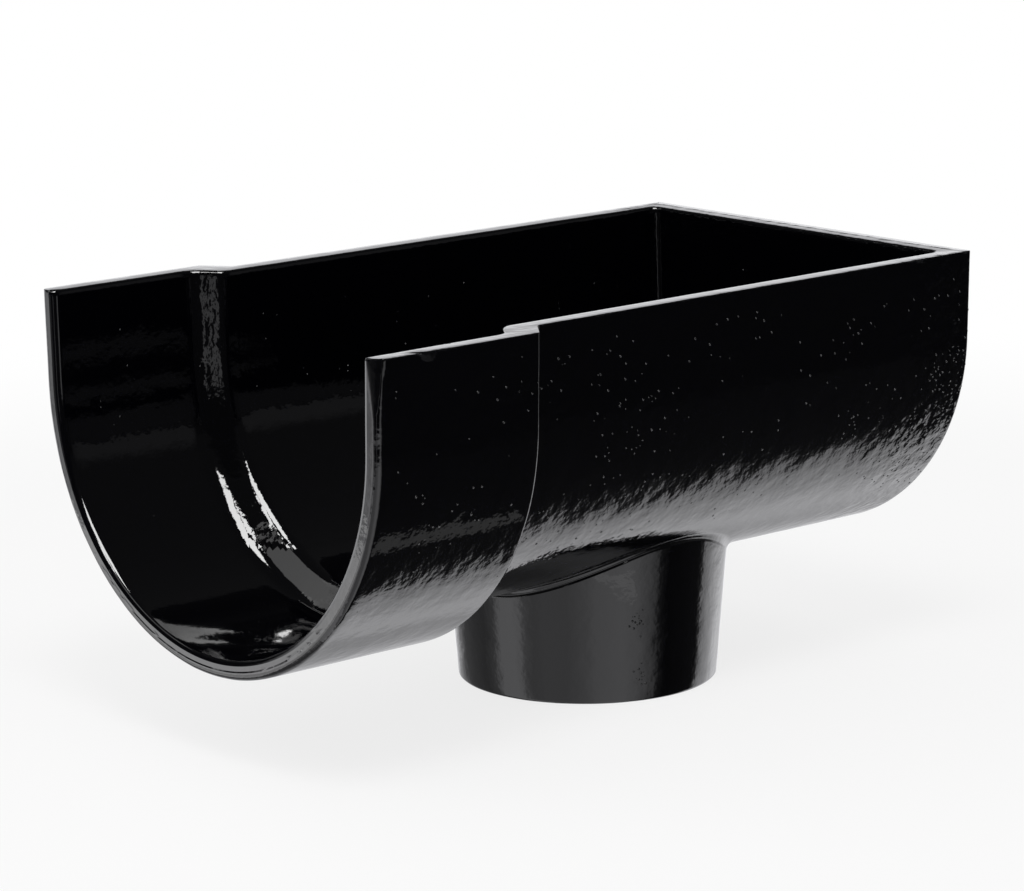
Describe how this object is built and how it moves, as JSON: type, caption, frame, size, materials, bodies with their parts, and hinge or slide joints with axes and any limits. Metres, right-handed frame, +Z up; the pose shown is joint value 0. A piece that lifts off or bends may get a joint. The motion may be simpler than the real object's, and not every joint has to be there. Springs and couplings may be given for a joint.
{
  "type": "half-round gutter stop-end outlet",
  "caption": "Cast-iron outlet for deep half-round gutter: socket mouth at one end, flat stop end at the other, tapered round spigot below.",
  "frame": {"origin": "on the outlet's axis, in the plane of the spigot's lower end", "axes": "+X along the gutter from the socket mouth to the stop end, +Z up through the open rim, +Y across"},
  "size_m": [0.2, 0.129, 0.106],
  "materials": {
    "painted_iron": "gloss"
  },
  "bodies": {
    "root": {"outlet_casting": "painted_iron"}
  },
  "joints": []
}
